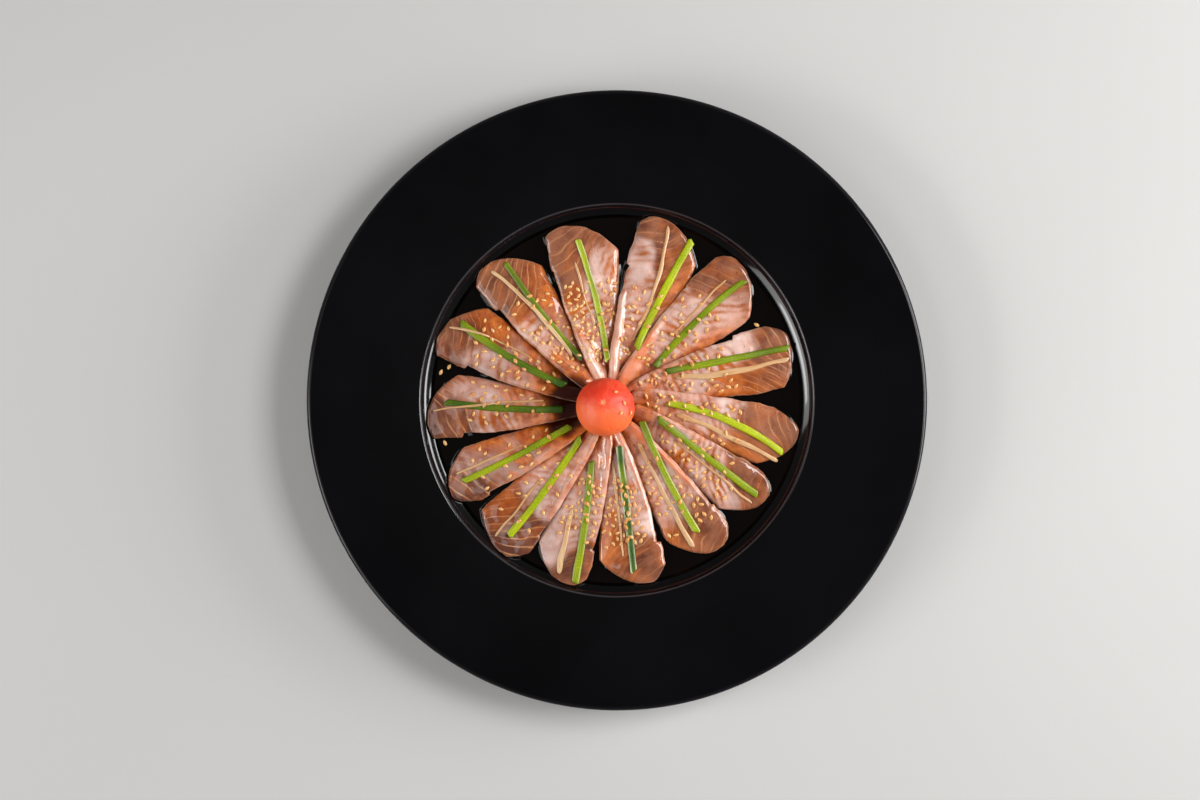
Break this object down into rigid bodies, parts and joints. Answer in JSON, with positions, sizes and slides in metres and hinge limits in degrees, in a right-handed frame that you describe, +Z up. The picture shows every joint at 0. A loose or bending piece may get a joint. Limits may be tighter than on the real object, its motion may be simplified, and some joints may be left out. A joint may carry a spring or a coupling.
{
  "type": "sashimi plate",
  "caption": "Thin fish slices laid as a flower in the well of a wide-rimmed black plate, in dark sauce, with chive and ginger strips, sesame seeds and a peeled cherry tomato.",
  "frame": {"origin": "centre of the plate's foot ring, on the surface the plate stands on", "axes": "+Z up, out of the well; +Y towards the top of the rosette as seen from above and +X to its right"},
  "size_m": [0.2994, 0.2994, 0.0423],
  "materials": {
    "plate": "matte black stoneware with a fine tooth",
    "sauce": "thin dark brown liquid, glossy, amber where it is shallow",
    "fish": "wet translucent raw white fish, pink and brown at the tips, with pale grain lines",
    "chive": "fresh green stalk, wet",
    "ginger": "pale yellow root cut in thin strips, wet",
    "tomato": "peeled tomato, wet, red above and orange below"
  },
  "bodies": {
    "root": {"plate": "plate", "sauce": "sauce", "fish_01": "fish", "fish_02": "fish", "fish_03": "fish", "fish_04": "fish", "fish_05": "fish", "fish_06": "fish", "fish_07": "fish", "fish_08": "fish", "fish_09": "fish", "fish_10": "fish", "fish_11": "fish", "fish_12": "fish", "fish_13": "fish", "fish_14": "fish", "chive_01": "chive", "chive_02": "chive", "chive_03": "chive", "chive_04": "chive", "chive_05": "chive", "chive_06": "chive", "chive_07": "chive", "chive_08": "chive", "chive_09": "chive", "chive_10": "chive", "chive_11": "chive", "chive_12": "chive", "chive_13": "chive", "chive_14": "chive", "ginger_01": "ginger", "ginger_02": "ginger", "ginger_03": "ginger", "ginger_04": "ginger", "ginger_05": "ginger", "ginger_06": "ginger", "ginger_07": "ginger", "ginger_08": "ginger", "ginger_09": "ginger", "ginger_10": "ginger", "ginger_11": "ginger", "ginger_12": "ginger", "ginger_13": "ginger", "ginger_14": "ginger", "tomato": "tomato"}
  },
  "joints": []
}
